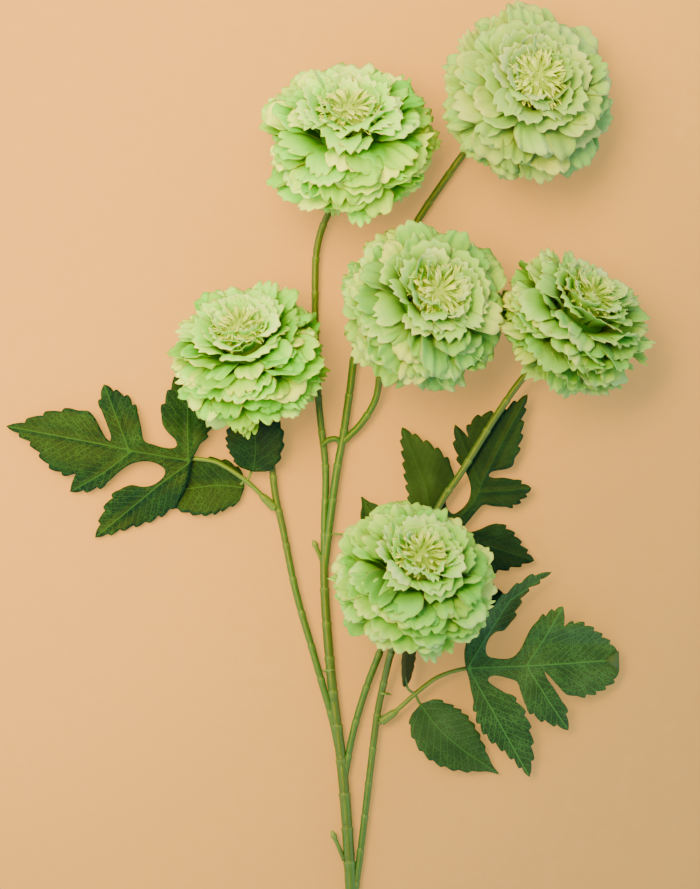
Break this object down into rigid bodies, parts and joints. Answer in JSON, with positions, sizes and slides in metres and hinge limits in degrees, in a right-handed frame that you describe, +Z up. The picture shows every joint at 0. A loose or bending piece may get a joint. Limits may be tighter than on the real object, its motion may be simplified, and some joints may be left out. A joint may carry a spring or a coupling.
{
  "type": "artificial pompon chrysanthemum spray",
  "caption": "Artificial cut-flower spray: layered cloth pompon blooms on a jointed, branched stem with lobed leaves and small leaflets, lying on its back.",
  "frame": {"origin": "on the surface it lies on, under the middle of the spray's box", "axes": "+Z up from the surface, +Y from the cut end towards the blooms, +X to the right seen from above"},
  "size_m": [0.2626, 0.4525, 0.0725],
  "materials": {
    "petal_cloth": "matt stamped cloth, pale mint green at the tips and saturated green at the roots",
    "eye_cloth": "matt fringed cloth, yellow-green",
    "calyx_plastic": "moulded plastic, reddish brown",
    "stem_plastic": "moulded plastic, satin olive green with joint lips and parting lines",
    "stalk_plastic": "moulded plastic, satin yellow-olive",
    "leaf_cloth": "printed coated cloth, dark green with a pale net of veins"
  },
  "bodies": {
    "root": {"stem_main": "stem_plastic", "stem_left": "stem_plastic", "stem_right": "stem_plastic", "stem_rear": "stem_plastic", "petiole_left": "stalk_plastic", "petiole_right": "stalk_plastic", "petiole_rear": "stalk_plastic", "leaf_left": "leaf_cloth", "leaf_right": "leaf_cloth", "leaf_rear": "leaf_cloth", "leaflet_left_a": "leaf_cloth", "leaflet_left_b": "leaf_cloth", "leaflet_right_a": "leaf_cloth", "leaflet_right_b": "leaf_cloth", "leaflet_rear_a": "leaf_cloth", "leaflet_rear_b": "leaf_cloth", "bloom_1_petals": "petal_cloth", "bloom_2_petals": "petal_cloth", "bloom_3_petals": "petal_cloth", "bloom_4_petals": "petal_cloth", "bloom_5_petals": "petal_cloth", "bloom_6_petals": "petal_cloth", "bloom_1_eye": "eye_cloth", "bloom_2_eye": "eye_cloth", "bloom_3_eye": "eye_cloth", "bloom_4_eye": "eye_cloth", "bloom_5_eye": "eye_cloth", "bloom_6_eye": "eye_cloth", "bloom_1_calyx": "calyx_plastic", "bloom_2_calyx": "calyx_plastic", "bloom_3_calyx": "calyx_plastic", "bloom_4_calyx": "calyx_plastic", "bloom_5_calyx": "calyx_plastic", "bloom_6_calyx": "calyx_plastic"}
  },
  "joints": []
}
